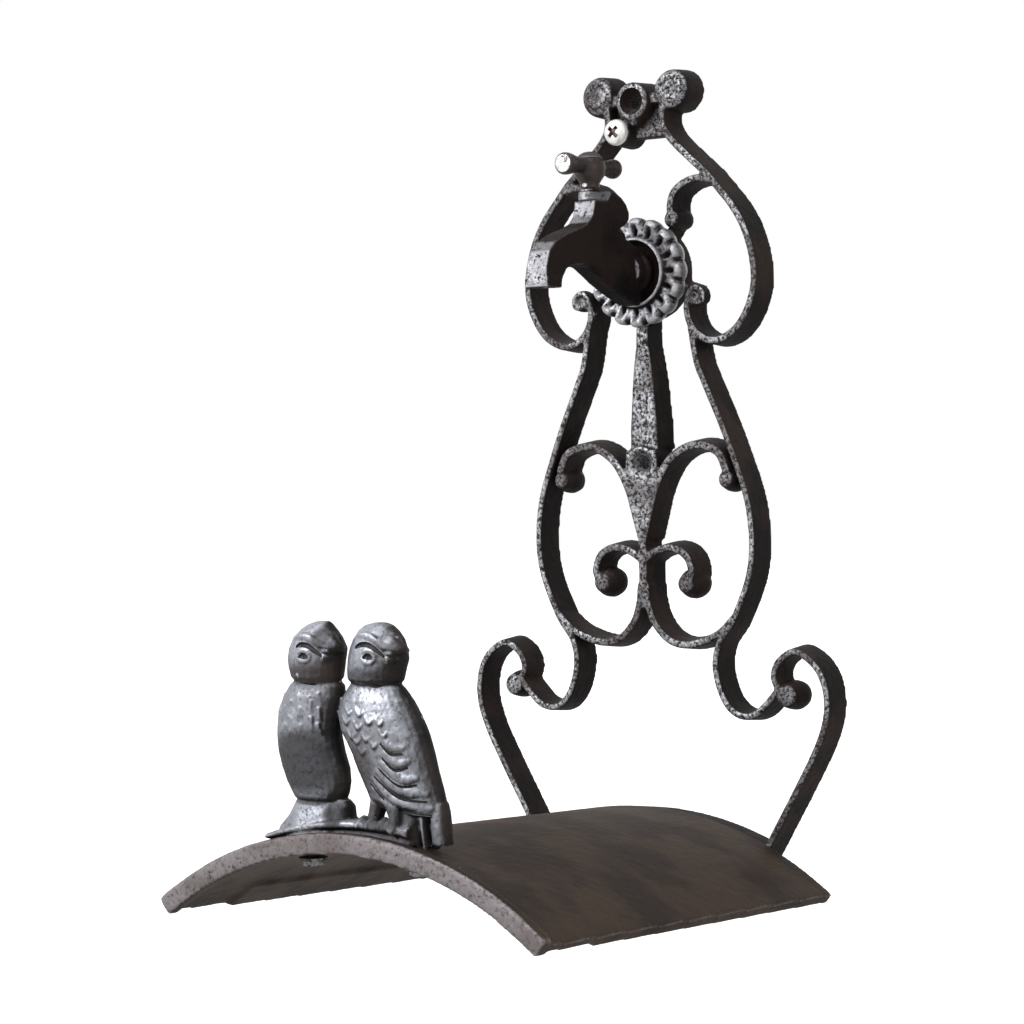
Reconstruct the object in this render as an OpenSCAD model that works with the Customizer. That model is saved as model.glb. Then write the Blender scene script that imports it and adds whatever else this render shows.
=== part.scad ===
// Wall hose holder: a cast scrollwork back frame with a tap ornament, an arched
// saddle that carries the coiled hose, and a pair of birds as the front stop.
// Millimetres. +Z is up, the wall is the plane y = 0 and the holder reaches to -Y.
// The origin is on the wall, half way between the two countersunk wall holes.
// Profile points are written from the upper wall hole, z down, before that shift.

/* [Back frame] */
// distance between the two wall holes; the scrollwork follows it
hole_pitch = 166; // [154:1:178]
// face width of the scroll bars
bar_w = 4.6; // [4:0.1:6]
// depth of the scroll bars, from the wall to their front face
bar_d = 14; // [12:0.5:16]
// diameter of the wall holes
wall_hole = 6.6; // [5.5:0.1:7.4]
// countersink diameter at both wall holes
sink_dia = 13; // [11:0.5:14]

/* [Saddle] */
// reach of the saddle's front lip from the wall
reach = 232; // [200:2:250]
// width of the saddle over its two wings
saddle_w = 200; // [180:2:220]
// thickness of the saddle plate
plate_t = 4; // [3.5:0.5:5]
// height of the rolled rim around the saddle
rim_h = 8.5; // [8:0.5:10]
// depth of the front rim
rim_d = 6; // [5:0.5:7]
// fall of the saddle towards the wall, degrees
fall = 3; // [1:0.5:4]

/* [Ornament] */
// outer diameter of the fluted rosette
rosette_dia = 48; // [44:1:50]
// number of petals round the rosette
petals = 16; // [12:1:18]
// length of the tap's T handle
handle_len = 42; // [34:1:48]
// thickness of the bird casting at its fullest
bird_t = 15; // [12:1:16]

/* [Fasteners] */
// saddle bolt thread diameter
bolt_dia = 6; // [5:1:6]
// bird screw thread diameter
bird_screw_dia = 5; // [4:1:5]
// tap stud thread diameter
stud_dia = 8; // [6:1:8]
// spindle diameter of the tap handle
spindle_dia = 4.5; // [4:0.5:5]

/* [Hidden] */
$fn = 64;
k = hole_pitch/166;            // layout scale of the scrollwork
top = hole_pitch/2;            // height of the upper wall hole
slip = 0.05;                   // radial clearance of turning and threaded fits
bolt_gap = 0.3;                // radial clearance of plain bolt holes
face = -bar_d;                 // y of the frame's front face

// rosette and tap
hub_z = -78.5*k;
hub_r = rosette_dia/2 - 2;
hub_t = 9;
ros_t = 7;
ros_y = -hub_t;                // back of the rosette
tap_y = ros_y - ros_t;         // face that the tap's base is drawn against
axis_y = face - 36.2;          // vertical axis of the handle
stud_r = stud_dia/2;
spin_r = spindle_dia/2;
bore_r = spin_r + 1;           // bore in the tap body for the gland
body_top = hub_z + 30.8;       // top of the tap body
collar_z = body_top - 8;       // underside of the spindle's collar
bar_z = hub_z + 46.3;          // height of the T bar

// saddle
R = 165;                       // radius of the saddle's crown
crown = -310*k;                // height of the lip's crown
drop = (reach - bar_d)*tan(fall);
half_a = asin(saddle_w/2/R);
flange_t = 4;
flange_h = 15;
rear_c = crown - drop - R;     // centre of the arc where the saddle meets the frame
foot_x = 62;
bolt_x = [-44, 0, 44];
bolt_ring = R - 7 - flange_h/2;
bolt_r = bolt_dia/2;
nut_pocket = 6.2;

// birds
plinth_y = -reach + rim_d + 8.5;
plinth_z = crown - 3 - (reach + plinth_y)*tan(fall) + 0.02;
bscrew_r = bird_screw_dia/2;
bscrew_x = 28;

function cr(a, b, c, d, t) = 0.5*(2*b + (c - a)*t + (2*a - 5*b + 4*c - d)*t*t + (3*b - a - 3*c + d)*t*t*t);
// points of a smooth curve through the given ones, n to each stretch
function curve(c, n) = concat([for (i = [0:len(c) - 2], j = [0:n - 1])
    cr(c[max(i - 1, 0)], c[i], c[i + 1], c[min(i + 2, len(c) - 1)], j/n)], [c[len(c) - 1]]);
function loop(c, n) = let (m = len(c)) [for (i = [0:m - 1], j = [0:n - 1])
    cr(c[(i + m - 1) % m], c[i], c[(i + 1) % m], c[(i + 2) % m], j/n)];
function side(p, i) = let (d = p[min(i + 1, len(p) - 1)] - p[max(i - 1, 0)]) [-d[1], d[0]]/norm(d);

// a scroll bar of even width along a smooth curve
module scroll(c, w = bar_w, n = 4) {
    p = curve(c*k, n);
    m = len(p) - 1;
    polygon(concat([for (i = [0:m]) p[i] + side(p, i)*w/2], [for (i = [0:m]) p[m - i] - side(p, m - i)*w/2]));
}
module knob(x, z, r) { translate([x, z]*k) circle(r); }
// drawn in the plane of the wall, standing out from it by h
module stand(h) { rotate([90, 0, 0]) linear_extrude(h) children(); }
module both() { children(); mirror([1, 0, 0]) children(); }
// round bar along -Y from the wall side at y0
module bar_y(x, y0, z, r, h) { translate([x, y0, z]) rotate([90, 0, 0]) cylinder(r = r, h = h); }
// sector of a ring about (0, zc), half angle a
module arch(zc, r1, r2, a) {
    translate([0, zc]) intersection() {
        difference() { circle(r2, $fn = 128); circle(r1, $fn = 128); }
        polygon([[0, 0], [-2*R*sin(a), 2*R*cos(a)], [2*R*sin(a), 2*R*cos(a)]]);
    }
}

// right half of the scrollwork, mirrored for the left
module scrolls() {
    // arm from the top volute round the big loop to its inner knob
    scroll([[16, 3], [15, -5], [15.4, -12], [19.6, -18.7], [29, -27.5], [38, -35.5], [43.9, -42], [51.6, -51],
        [57, -60], [60.4, -69.2], [62.2, -78.5], [62, -88], [58.6, -97.6], [53.3, -105.2], [46.4, -109.8],
        [39.5, -111], [33, -108.6], [28.2, -103], [26.4, -96], [28.4, -90.4]]);
    knob(20, 3.8, 8.3);
    // hook reaching in to the hub
    scroll([[39.5, -38.6], [33.5, -37.4], [27.6, -38.4], [23.2, -40.6], [20.1, -43.6], [18.5, -48.4], [18.7, -55]]);
    knob(18.8, -55, 4.2);
    // side bar, stem and trough
    scroll([[28.3, -104], [31, -119.6], [34.7, -128.8], [43.2, -147.2], [50.5, -165], [56.2, -181], [58.6, -195],
        [58.6, -208.5], [55.6, -221.5], [48, -238], [40.8, -248], [38.4, -258], [40.4, -268.5], [45, -276.8],
        [51.8, -280.8], [59.5, -279.6], [66, -274], [71, -268.5]]);
    // bottom scroll down to the foot
    scroll([[71.5, -268.5], [69, -262.4], [71.7, -255.6], [79.5, -251], [87.7, -254.6], [93.4, -261.4],
        [95.9, -270.5], [95.3, -281], [90.6, -293.6], [81, -311], [71, -328], [61, -345]]);
    knob(75.4, -271, 5.4);
    // curl beside the lower wall hole
    scroll([[0.5, -201], [3.4, -191], [7.4, -178], [13.6, -167], [20.4, -161.2], [28, -158.4], [35.8, -159],
        [42.4, -162.4], [46, -170.5]], bar_w + 1.4);
    knob(45.6, -173.5, 4.2);
    // heart at the bottom of the middle, and the bows below it
    scroll([[0, -211], [8, -206.4], [16.6, -205.3], [23.6, -208.8], [26.4, -215.4], [25, -220]], bar_w + 0.9);
    knob(23.3, -221.6, 5.3);
    scroll([[1.4, -222], [2.4, -231], [6, -240], [13.4, -247.2], [22.4, -249.4], [33, -247.2], [44, -240.5]],
        bar_w + 0.6);
}
// knob at the loop's inner end, only on the front
module loop_knob() { translate([0, -bar_d + 5, 0]) stand(5) both() knob(31.8, -88.4, 4); }

module back_frame() color([0.20, 0.18, 0.17]) translate([0, 0, top]) difference() {
    union() {
        stand(bar_d) both() scrolls();
        // ties from the hub to the scrolls round it, level with the hub
        stand(hub_t - 0.5) both() { scroll([[18.8, -55], [11, -64]], 5); scroll([[27.4, -88], [18, -85]], 5); }
        loop_knob();
        // the tip of the spine plate runs on into the heart, set back
        stand(bar_d - 4) polygon([[-3, -190], [3, -190], [2, -214], [-2, -214]]*k);
        stand(bar_d) {
            polygon([[-3.4, -209], [3.4, -209], [3.6, -232], [-3.6, -232]]*k);
            // spine plate round the lower wall hole
            polygon(loop([[-4.2, -152], [-7.6, -157], [-8.9, -166], [-7.4, -178], [-4.6, -190], [0, -201.5],
                [4.6, -190], [7.4, -178], [8.9, -166], [7.6, -157], [4.2, -152]]*k, 3));
        }
        // spine, a little behind the front face, low where it passes under the rosette
        stand(hub_t - 0.5) polygon([[-3.6, -94], [3.6, -94], [3.8, -106], [-3.8, -106]]*k);
        stand(bar_d - 3) polygon([[-3.7, -103.2], [3.7, -103.2], [5, -118.5], [7.1, -137], [8.3, -150], [8, -160],
            [-8, -160], [-8.3, -150], [-7.1, -137], [-5, -118.5]]*k);
        // sunk web under the upper boss
        stand(bar_d - 6) polygon([[-13, 2], [13, 2], [15, -12], [16, -16.5], [-16, -16.5], [-15, -12]]*k);
        bar_y(0, 0, 0, 9, bar_d + 2);
        bar_y(-9*k, 0, -13.5*k, 6.4, bar_d);
        bar_y(0, 0, -hole_pitch, sink_dia/2 + 1.6, bar_d);
        // hub behind the rosette
        bar_y(0, 0, hub_z, hub_r, hub_t);
        // foot that the saddle is bolted to
        stand(bar_d) intersection() {
            arch(rear_c, R - 7 - flange_h, R - 5, half_a);
            translate([-foot_x, rear_c]) square([2*foot_x, R]);
        }
    }
    // wall holes and their countersinks
    for (h = [[0, bar_d + 2], [-hole_pitch, bar_d]]) {
        bar_y(0, 1, h[0], wall_hole/2, bar_d + 6);
        translate([0, -h[1] - 0.01, h[0]]) rotate([-90, 0, 0])
            cylinder(r1 = sink_dia/2, r2 = wall_hole/2, h = (sink_dia - wall_hole)/2);
    }
    // arm screw, tap stud with its nut pocket
    bar_y(-9*k, 1, -13.5*k, 3 + slip, bar_d + 3);
    bar_y(0, 1, hub_z, stud_r + bolt_gap, hub_t + 2);
    bar_y(0, 1, hub_z, stud_r + 6.5, 1 + hub_t - 3);
    // saddle bolts and the nut pockets behind them
    for (x = bolt_x) {
        bar_y(x, 1, rear_c + sqrt(bolt_ring*bolt_ring - x*x), bolt_r + bolt_gap, bar_d + 2);
        bar_y(x, 1, rear_c + sqrt(bolt_ring*bolt_ring - x*x), bolt_r + 4, 1 + nut_pocket);
    }
}

// petalled disc with a raised inner ring, clamped between the tap and the hub
module rosette() color([0.26, 0.24, 0.23]) translate([0, ros_y, top + hub_z]) difference() {
    union() {
        stand(ros_t) {
            circle(rosette_dia/2 - 4.6);
            for (i = [0:petals - 1]) rotate(360*i/petals) translate([rosette_dia/2 - 4.4, 0]) circle(4.4);
        }
        bar_y(0, 0, 0, 15.8, ros_t + 1.6);
    }
    bar_y(0, 1, 0, stud_r + bolt_gap, ros_t + 4);
    bar_y(0, -ros_t, 0, 13.6, 3);
    // grooves between the petals
    for (i = [0:petals - 1]) rotate([0, 360*(i + 0.5)/petals, 0])
        translate([16.4, -ros_t - 0.6, -0.5]) cube([rosette_dia/2, 1.6, 1]);
}

// side of the tap casting: distance out from the frame's face, height over the hub
tap_side = [[30.2, 30.8], [40.8, 30.8], [41.2, 27], [42.4, 23.5], [46, 20.2], [52, 17.7], [62, 14.9], [71, 11],
    [76, 6.5], [78.5, -0.5], [79, -9], [68, -9.5], [66, -4.4], [63, -0.9], [58.5, 0.9], [51, 1.5], [44, 0.4],
    [38, -2.2], [29.3, -7], [17.5, -11.6], [9, -14.6], [4.2, -15.4], [4.2, 10.5], [10, 12.5], [17, 15.5], [21, 18.5],
    [14, 21], [10, 24], [13, 27.5], [18, 31], [23, 33.6], [28, 34.6]];

// tap casting: a flat-sided body whose neck stands in the rosette's ring, with its stud behind
module tap_body() color([0.30, 0.28, 0.27]) translate([0, 0, top]) difference() {
    union() {
        translate([-5.8, 0, hub_z]) rotate([90, 0, 90]) linear_extrude(11.6)
            polygon([for (q = tap_side) [face - q[0], q[1]]]);
        translate([-6.3, face - 79.2, hub_z - 9.6]) cube([12.6, 10.6, 4]);
        bar_y(0, tap_y, hub_z, 9.5, 4);
        // round seat of the gland
        translate([0, axis_y, hub_z + 18]) cylinder(r = 5.4, h = body_top - hub_z - 18 - 0.02);
        // stud through the rosette and the hub
        bar_y(0, -1, hub_z, stud_r, -tap_y + 1);
    }
    translate([0, axis_y, collar_z - 0.3]) cylinder(r = bore_r, h = 40);
    translate([0, axis_y, collar_z - 9]) cylinder(r = spin_r + slip, h = 20);
    translate([0, face - 73.6, hub_z - 20]) cylinder(r = 3.4, h = 15);
}

// gland screwed into the top of the tap; it holds the spindle's collar down
module tap_bonnet() color([0.33, 0.30, 0.28]) translate([0, axis_y, top]) difference() {
    union() {
        translate([0, 0, body_top]) cylinder(r = 5.4, h = 4.2);
        translate([0, 0, body_top + 4]) cylinder(r = 4.4, h = 1.2);
        translate([0, 0, collar_z + 4.5]) cylinder(r = bore_r - slip, h = body_top - collar_z - 4.4);
    }
    translate([0, 0, collar_z]) cylinder(r = spin_r + slip, h = 40);
}

// packing ring between the collar and the gland
module tap_packing() color([0.10, 0.10, 0.10]) translate([0, axis_y, top + collar_z + 3]) difference() {
    cylinder(r = bore_r - slip, h = 1.5);
    translate([0, 0, -1]) cylinder(r = spin_r + slip, h = 4);
}

module tap_spindle() color([0.62, 0.60, 0.56]) translate([0, axis_y, top]) {
    translate([0, 0, collar_z - 8]) cylinder(r = spin_r, h = bar_z - collar_z + 12.5);
    translate([0, 0, collar_z]) cylinder(r = bore_r - slip, h = 2.7);
}

module tap_handle() color([0.34, 0.22, 0.15]) translate([0, axis_y, top]) difference() {
    union() {
        translate([0, 0, body_top + 5.6]) cylinder(r = 4, h = 6);
        intersection() {
            translate([0, 0, bar_z]) sphere(6.5);
            translate([-10, -10, bar_z - 10]) cube([20, 20, 13.5]);
        }
        bar_y(0, handle_len/2 - 4, bar_z, 3.4, handle_len - 8);
        for (s = [-1, 1]) translate([0, s*(handle_len/2 - 4.2), bar_z]) sphere(4.2);
    }
    translate([0, 0, body_top]) cylinder(r = spin_r + 0.02, h = 30);
}

// domed nut on the spindle's upper end
module tap_cap() color([0.40, 0.28, 0.20]) translate([0, axis_y, top + bar_z]) difference() {
    intersection() {
        sphere(6.6);
        translate([-10, -10, 3.51]) cube([20, 20, 20]);
    }
    translate([0, 0, 2]) cylinder(r = spin_r + 0.02, h = 3);
}

module tap_washer() color([0.55, 0.55, 0.55]) translate([0, 0, top + hub_z]) difference() {
    bar_y(0, -hub_t + 3 + 1.5, 0, stud_r + 5, 1.5);
    bar_y(0, 0, 0, stud_r + 0.2, 20);
}

module tap_nut() color([0.55, 0.55, 0.55]) translate([0, 0, top + hub_z]) difference() {
    translate([0, -hub_t + 8.7, 0]) rotate([90, 0, 0]) cylinder(r = stud_r*1.85, h = 4.2, $fn = 6);
    bar_y(0, 5, 0, stud_r + 0.02, 20);
}

// arched plate with a rolled rim, and a flange against the frame's foot
module saddle() color([0.30, 0.21, 0.15]) translate([0, 0, top]) difference() {
    union() {
        difference() {
            translate([0, -reach, crown]) rotate([-fall, 0, 0]) {
                mirror([0, 1, 0]) stand(reach) arch(-R, R - 3 - plate_t, R - 3, half_a);
                mirror([0, 1, 0]) stand(rim_d) arch(-R, R - rim_h, R, half_a);
                // rails under the wings, from behind the lip to the wall
                for (s = [0, 1]) mirror([s, 0, 0]) translate([0, 38, 0]) mirror([0, 1, 0]) stand(reach - 38)
                    intersection() {
                        arch(-R, R - rim_h, R - 3 - plate_t/2, half_a);
                        translate([saddle_w/2 - 16, -R]) square([30, R]);
                    }
                // seats for the bird screws under the plate
                for (x = [-bscrew_x, bscrew_x]) translate([x, reach + plinth_y, 0]) {
                    translate([0, 0, -11.4]) cylinder(r = 6.5, h = 4.2);
                }
            }
            translate([-200, face, crown - 120]) cube([400, 100, 200]);
        }
        translate([0, face, 0]) stand(flange_t) intersection() {
            arch(rear_c, R - 7 - flange_h, R - 4, half_a);
            translate([-foot_x, rear_c]) square([2*foot_x, R]);
        }
    }
    for (x = [-bscrew_x, bscrew_x]) translate([x, plinth_y, crown - 30]) cylinder(r = bscrew_r + bolt_gap, h = 50);
    for (x = bolt_x)
        bar_y(x, face + 5, rear_c + sqrt(bolt_ring*bolt_ring - x*x), bolt_r + bolt_gap, 12);
}

module at_bolts() { for (x = bolt_x) translate([x, 0, top + rear_c + sqrt(bolt_ring*bolt_ring - x*x)]) children(); }

module saddle_bolts() color([0.45, 0.44, 0.42]) at_bolts() {
    bar_y(0, -1.2, 0, bolt_r, bar_d + flange_t + 1.6 - 1.2 + 0.5);
    translate([0, face - flange_t - 1.6, 0]) rotate([90, 0, 0]) cylinder(r = bolt_dia*0.96, h = 4, $fn = 6);
}
module saddle_washers() color([0.55, 0.55, 0.55]) at_bolts() difference() {
    bar_y(0, face - flange_t, 0, bolt_dia, 1.6);
    bar_y(0, 0, 0, bolt_r + 0.2, 40);
}
module saddle_nuts() color([0.45, 0.44, 0.42]) at_bolts() difference() {
    translate([0, -nut_pocket + 5, 0]) rotate([90, 0, 0]) cylinder(r = bolt_dia*0.96, h = 5, $fn = 6);
    bar_y(0, 5, 0, bolt_r + 0.02, 30);
}

// two perched birds on one plinth, cast in one piece
left_bird = [[-8, -236.5], [-13, -231.5], [-19, -226.5], [-27, -229], [-33, -236], [-35.5, -244], [-38, -253],
    [-42, -261], [-44, -272], [-42.5, -284], [-38, -296], [-33, -303], [-22, -305], [-13, -300], [-8.6, -289],
    [-7, -275], [-8.4, -262], [-11.5, -252], [-12.5, -246], [-13, -240]];
right_bird = [[26, -238.5], [18.5, -231.5], [12, -226.5], [4, -228.5], [-1, -235], [-3, -243], [-5, -252],
    [-8.4, -260], [-9.5, -272], [-8, -286], [-2, -297], [6, -304], [20, -307], [32, -310], [43, -314],
    [45.5, -311], [42, -299], [38, -285], [33, -270], [27, -259], [21, -250], [20, -243]];
module birds() color([0.24, 0.25, 0.27]) translate([0, 0, top]) difference() {
    union() {
        translate([0, plinth_y, crown + 310]) {
            for (b = [left_bird, right_bird]) translate([0, bird_t/2 - 3, 0]) stand(bird_t - 6) polygon(loop(b, 2));
            // heads and full breasts
            for (x = [-24, 7.5]) translate([x, 0, -238.5]) sphere(9.4);
            for (b = [[-25.5, -278, 18.5], [12, -276, 18.5]]) intersection() {
                translate([b[0], 0, b[1]]) sphere(b[2]);
                translate([-60, -bird_t/2, -330]) cube([120, bird_t, 120]);
            }
            // left bird's skirt, right bird's legs
            translate([0, 5.5, 0]) stand(11) polygon([[-37, -296], [-12, -296], [-6, -310], [-44, -312]]);
            for (x = [6, 17]) translate([x, 0, -309]) cylinder(r = 3, h = 9);
        }
        translate([0, -reach, crown]) rotate([-fall, 0, 0]) translate([0, rim_d + 0.4, 0])
            mirror([0, 1, 0]) stand(16) intersection() {
                arch(-R, R - 3 + 0.05, R + 4.5, half_a);
                translate([-46, -R]) square([92, 2*R]);
            }
    }
    for (x = [-bscrew_x, bscrew_x]) translate([x, plinth_y, crown - 10]) cylinder(r = bscrew_r + slip, h = 18);
}

module at_bird_screws() { for (x = [-bscrew_x, bscrew_x]) translate([x, plinth_y, top]) children(); }
seat_z = crown - 11.4*cos(fall) - (reach + plinth_y)*sin(fall) - 1.0;
module bird_washers() color([0.55, 0.55, 0.55]) at_bird_screws() translate([0, 0, seat_z - 1]) difference() {
    cylinder(r = 6, h = 1);
    translate([0, 0, -1]) cylinder(r = bscrew_r + 0.2, h = 3);
}
module bird_screws() color([0.55, 0.55, 0.55]) at_bird_screws() {
    translate([0, 0, seat_z - 1]) cylinder(r = bscrew_r, h = plinth_z - seat_z + 11);
    translate([0, 0, seat_z - 3.2]) cylinder(r = bird_screw_dia*0.9, h = 2.2);
}

// pan head screw with a cross recess on the left arm
module arm_screw() color([0.85, 0.85, 0.83]) translate([-9*k, 0, top - 13.5*k]) difference() {
    union() {
        bar_y(0, -0.5, 0, 3, bar_d);
        intersection() {
            bar_y(0, face, 0, 6, 8);
            translate([0, face + 5.2, 0]) sphere(9.6);
        }
    }
    translate([0, face - 4.6, 0]) for (a = [0, 90]) rotate([0, a + 20, 0]) translate([-3, 0, -0.6]) cube([6, 2.4, 1.2]);
}

back_frame();
rosette();
tap_body();
tap_bonnet();
tap_packing();
tap_spindle();
tap_handle();
tap_cap();
tap_washer();
tap_nut();
saddle();
saddle_bolts();
saddle_washers();
saddle_nuts();
birds();
bird_washers();
bird_screws();
arm_screw();
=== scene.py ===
"""Wall hose holder in cast iron: scrollwork frame, rosette, tap, arched saddle and two perched birds."""
import math

import bmesh
import bpy
from mathutils import Matrix, Vector


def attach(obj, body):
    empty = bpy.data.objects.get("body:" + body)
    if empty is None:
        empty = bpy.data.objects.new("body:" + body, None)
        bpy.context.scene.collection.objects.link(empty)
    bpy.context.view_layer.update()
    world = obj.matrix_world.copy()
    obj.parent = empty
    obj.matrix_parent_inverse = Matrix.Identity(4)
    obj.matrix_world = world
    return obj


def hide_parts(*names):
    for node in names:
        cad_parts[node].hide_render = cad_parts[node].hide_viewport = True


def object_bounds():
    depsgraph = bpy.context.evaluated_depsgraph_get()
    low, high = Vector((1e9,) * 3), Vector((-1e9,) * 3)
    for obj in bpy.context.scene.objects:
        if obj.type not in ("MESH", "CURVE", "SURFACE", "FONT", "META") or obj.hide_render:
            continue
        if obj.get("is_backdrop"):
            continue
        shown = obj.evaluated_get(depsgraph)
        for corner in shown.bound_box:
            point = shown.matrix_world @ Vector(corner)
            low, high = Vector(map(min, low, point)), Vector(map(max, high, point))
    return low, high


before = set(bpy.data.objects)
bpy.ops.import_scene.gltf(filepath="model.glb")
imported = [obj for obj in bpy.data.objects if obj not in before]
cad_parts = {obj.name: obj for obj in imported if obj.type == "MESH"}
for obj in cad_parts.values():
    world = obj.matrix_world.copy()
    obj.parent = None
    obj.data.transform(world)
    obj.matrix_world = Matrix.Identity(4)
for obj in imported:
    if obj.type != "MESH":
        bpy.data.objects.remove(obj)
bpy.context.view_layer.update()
scene = bpy.context.scene
scene.view_settings.view_transform = "Standard"
MM = 0.001
HOLE_Z = 83.0          # height of the upper wall hole over the origin
FACE_Y = -14.0         # front face of the frame

# Camera: low and from the right, the photograph's own place, 1.3 m away with a long lens.
LENS = 96.68
SWING, TIP, ROLL = 36.4986, 1.4157, -1.1557     # degrees to the right, up and about the view
CAMERA_AT = Vector((0.7059, -1.0680, -0.0731))
camera = bpy.data.objects.new("camera", bpy.data.cameras.new("camera"))
scene.collection.objects.link(camera)
camera.data.sensor_width = 36.0
camera.data.lens = LENS
swing, tip, roll = (math.radians(a) for a in (SWING, TIP, ROLL))
back = Vector((math.sin(swing)*math.cos(tip), -math.cos(swing)*math.cos(tip), math.sin(tip)))
right = (-back).cross(Vector((0, 0, 1))).normalized()
up = right.cross(-back)
right, up = (right*math.cos(roll) + up*math.sin(roll), up*math.cos(roll) - right*math.sin(roll))
camera.matrix_world = Matrix((
    (right.x, up.x, back.x, CAMERA_AT.x),
    (right.y, up.y, back.y, CAMERA_AT.y),
    (right.z, up.z, back.z, CAMERA_AT.z),
    (0, 0, 0, 1)))
scene.camera = camera

# Studio: a white floor well below the holder, a white world for what looks straight at it,
# and soft lamps from the left and above, so that the faces to the front catch the light.
FLOOR_Z = -0.42
WORLD_LIGHT = 0.42     # what lights the holder, against 1 for what the camera sees
world = bpy.data.worlds.new("studio")
scene.world = world
world.use_nodes = True
wn, wl = world.node_tree.nodes, world.node_tree.links
seen = wn.new("ShaderNodeLightPath")
either = wn.new("ShaderNodeMath")
either.operation = "MAXIMUM"
wl.new(seen.outputs["Is Camera Ray"], either.inputs[0])
wl.new(seen.outputs["Is Glossy Ray"], either.inputs[1])
through = wn.new("ShaderNodeMath")
through.operation = "MAXIMUM"
wl.new(either.outputs[0], through.inputs[0])
wl.new(seen.outputs["Is Transmission Ray"], through.inputs[1])
level = wn.new("ShaderNodeMapRange")
level.inputs["To Min"].default_value = WORLD_LIGHT
level.inputs["To Max"].default_value = 1.0
wl.new(through.outputs[0], level.inputs["Value"])
wn["Background"].inputs["Color"].default_value = (1, 1, 1, 1)
wl.new(level.outputs[0], wn["Background"].inputs["Strength"])

bm = bmesh.new()
bmesh.ops.create_grid(bm, x_segments=1, y_segments=1, size=6.0)
bmesh.ops.translate(bm, verts=bm.verts, vec=(0, 0, FLOOR_Z))
floor_mesh = bpy.data.meshes.new("floor")
bm.to_mesh(floor_mesh)
bm.free()
floor = bpy.data.objects.new("floor", floor_mesh)
scene.collection.objects.link(floor)
floor_paint = bpy.data.materials.new("floor_white")
floor_paint.use_nodes = True
fn, fl = floor_paint.node_tree.nodes, floor_paint.node_tree.links
fn["Principled BSDF"].inputs["Base Color"].default_value = (0.9, 0.9, 0.9, 1)
fn["Principled BSDF"].inputs["Roughness"].default_value = 0.9
fn["Principled BSDF"].inputs["Emission Color"].default_value = (1, 1, 1, 1)
floor_ray = fn.new("ShaderNodeLightPath")
floor_spot = fn.new("ShaderNodeTexCoord")
floor_reach = fn.new("ShaderNodeVectorMath")
floor_reach.operation = "LENGTH"
fl.new(floor_spot.outputs["Object"], floor_reach.inputs[0])
floor_fade = fn.new("ShaderNodeMapRange")
for label, value in (("From Min", 0.4), ("From Max", 2.0), ("To Min", 0.5), ("To Max", 0.85)):
    floor_fade.inputs[label].default_value = value
fl.new(floor_reach.outputs["Value"], floor_fade.inputs["Value"])
floor_glow = fn.new("ShaderNodeMath")
floor_glow.operation = "MULTIPLY"
fl.new(floor_ray.outputs["Is Camera Ray"], floor_glow.inputs[0])
fl.new(floor_fade.outputs["Result"], floor_glow.inputs[1])
fl.new(floor_glow.outputs[0], fn["Principled BSDF"].inputs["Emission Strength"])
floor_mesh.materials.append(floor_paint)
floor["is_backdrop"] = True

for name, place, aim, size, power in [
        ("key_left", (-0.9, -1.7, 0.75), (0, -0.05, -0.05), 1.0, 30),
        ("top_soft", (0.1, -0.9, 1.5), (0, -0.1, -0.1), 1.3, 18),
        ("right_fill", (1.6, -0.7, 0.3), (0, 0, -0.05), 0.9, 5)]:
    lamp = bpy.data.objects.new(name, bpy.data.lights.new(name, "AREA"))
    lamp.data.size = size
    lamp.data.energy = power
    lamp.location = place
    lamp.rotation_euler = (Vector(aim) - Vector(place)).to_track_quat("-Z", "Y").to_euler()
    scene.collection.objects.link(lamp)


# Back frame: one iron casting of flat scroll bars, narrower to the front and 14 mm deep, with knobs
# at their ends, a boss and a spine plate for the two wall screws, a hub behind the rosette and a foot
# for the saddle. Sand cast, painted near black and rubbed with silver on the faces to the front.
def smooth_path(points, steps=10):
    """Even curve through the points, ends kept."""
    pts = [Vector(p) for p in points]
    path = []
    for i in range(len(pts) - 1):
        a, b, c, d = pts[max(i - 1, 0)], pts[i], pts[i + 1], pts[min(i + 2, len(pts) - 1)]
        for j in range(steps):
            t = j/steps
            path.append(0.5*(2*b + (c - a)*t + (2*a - 5*b + 4*c - d)*t*t + (3*b - a - 3*c + d)*t**3))
    return path + [pts[-1]]


def sweep(bm, section, places):
    """Closes a tube: the section, a ring of points, is extruded from each place to the next."""
    verts = [bm.verts.new(places[0] @ Vector(p)) for p in section]
    edges = [bm.edges.new((verts[i], verts[i - 1])) for i in range(len(verts))]
    bmesh.ops.contextual_create(bm, geom=edges)
    for before, after in zip(places, places[1:]):
        made = bmesh.ops.extrude_edge_only(bm, edges=edges)["geom"]
        verts = [g for g in made if isinstance(g, bmesh.types.BMVert)]
        fresh = set(verts)
        edges = [g for g in made if isinstance(g, bmesh.types.BMEdge) and fresh >= set(g.verts)]
        bmesh.ops.transform(bm, matrix=after @ before.inverted(), verts=verts)
    bmesh.ops.contextual_create(bm, geom=edges)


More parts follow.
